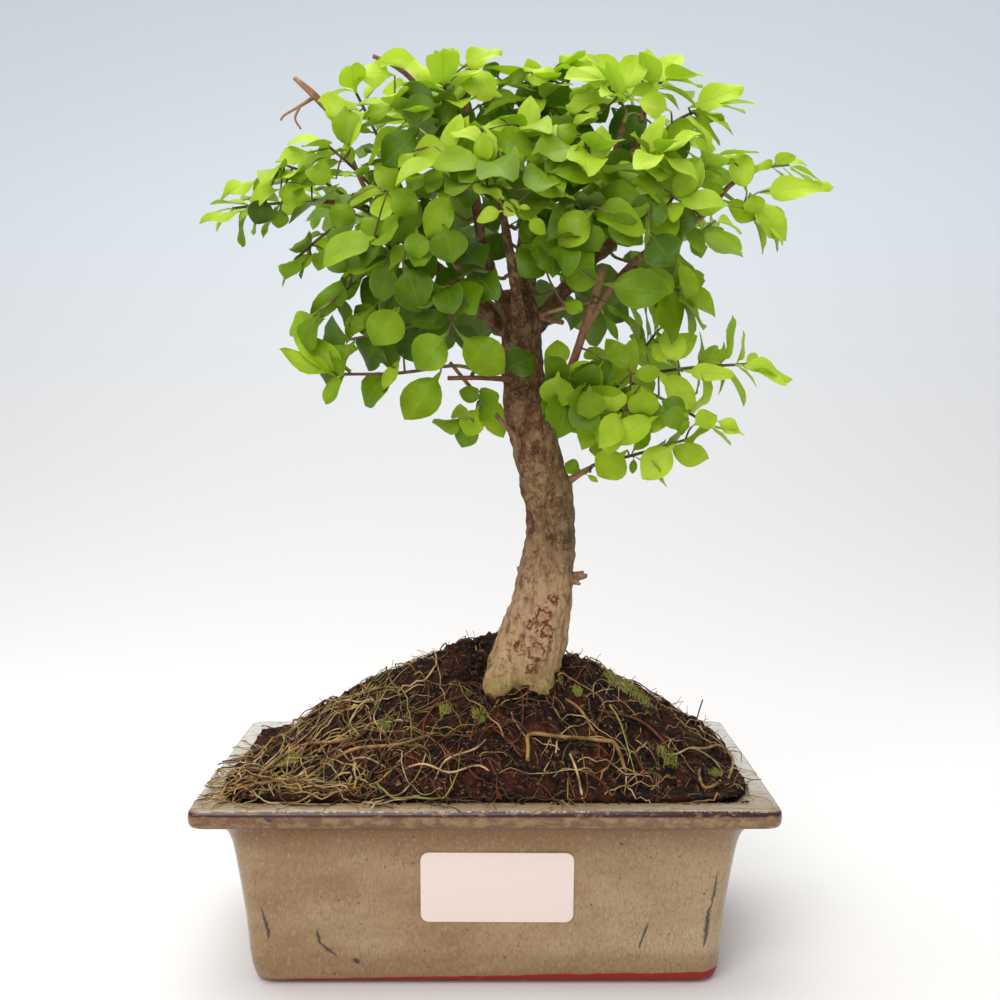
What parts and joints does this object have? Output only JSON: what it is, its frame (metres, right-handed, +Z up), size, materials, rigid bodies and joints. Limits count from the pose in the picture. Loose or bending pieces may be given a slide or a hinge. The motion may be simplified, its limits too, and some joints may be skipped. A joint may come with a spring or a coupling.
{
  "type": "chinese privet bonsai in pot",
  "caption": "Small privet bonsai tree with a curved trunk and a spreading leafy crown, growing from a mound of rooty soil in a low rectangular glazed pot with a flared lip.",
  "frame": {"origin": "centre of the pot's flat underside", "axes": "+Z up along the trunk, +X to the viewer's right along the pot's long side, -Y towards the front with the label"},
  "size_m": [0.1824, 0.1118, 0.259],
  "materials": {
    "glaze": "crackled grey-brown stoneware glaze over a bare terracotta foot",
    "paper": "blank white sticker",
    "peat": "dark moist peat with fine tan roots",
    "bark": "thin grey-brown bark",
    "leaf": "smooth fresh green leaf"
  },
  "bodies": {
    "root": {"label": "paper", "leafy_stem_back_limb_1": "leaf", "leafy_stem_back_limb_2": "leaf", "leafy_stem_back_limb_3": "leaf", "leafy_stem_back_limb_4": "leaf", "leafy_stem_back_limb_5": "leaf", "leafy_stem_cut_stick_1": "leaf", "leafy_stem_front_limb_1": "leaf", "leafy_stem_front_limb_2": "leaf", "leafy_stem_front_limb_3": "leaf", "leafy_stem_front_limb_4": "leaf", "leafy_stem_leader_1": "leaf", "leafy_stem_leader_2": "leaf", "leafy_stem_leader_3": "leaf", "leafy_stem_leader_4": "leaf", "leafy_stem_leader_5": "leaf", "leafy_stem_leader_6": "leaf", "leafy_stem_left_fork_1": "leaf", "leafy_stem_left_fork_2": "leaf", "leafy_stem_left_fork_3": "leaf", "leafy_stem_left_fork_4": "leaf", "leafy_stem_left_fork_5": "leaf", "leafy_stem_left_fork_6": "leaf", "leafy_stem_left_limb_1": "leaf", "leafy_stem_left_limb_10": "leaf", "leafy_stem_left_limb_2": "leaf", "leafy_stem_left_limb_3": "leaf", "leafy_stem_left_limb_4": "leaf", "leafy_stem_left_limb_5": "leaf", "leafy_stem_left_limb_6": "leaf", "leafy_stem_left_limb_7": "leaf", "leafy_stem_left_limb_8": "leaf", "leafy_stem_left_limb_9": "leaf", "leafy_stem_low_left_twig_1": "leaf", "leafy_stem_low_right_limb_1": "leaf", "leafy_stem_low_right_limb_2": "leaf", "leafy_stem_low_right_limb_3": "leaf", "leafy_stem_low_right_limb_4": "leaf", "leafy_stem_low_right_limb_5": "leaf", "leafy_stem_lowest_twig_1": "leaf", "leafy_stem_pink_stub_1": "leaf", "leafy_stem_right_branch_1": "leaf", "leafy_stem_right_branch_2": "leaf", "leafy_stem_right_branch_3": "leaf", "leafy_stem_right_branch_4": "leaf", "leafy_stem_right_branch_5": "leaf", "leafy_stem_right_branch_6": "leaf", "leafy_stem_right_limb_1": "leaf", "leafy_stem_right_limb_2": "leaf", "leafy_stem_right_limb_3": "leaf", "leafy_stem_right_limb_4": "leaf", "leafy_stem_right_limb_5": "leaf", "leafy_stem_right_limb_6": "leaf", "leafy_stem_upper_right_1": "leaf", "leafy_stem_upper_right_2": "leaf", "leafy_stem_upper_right_3": "leaf", "pot": "glaze", "soil": "peat", "trunk": "bark"}
  },
  "joints": []
}
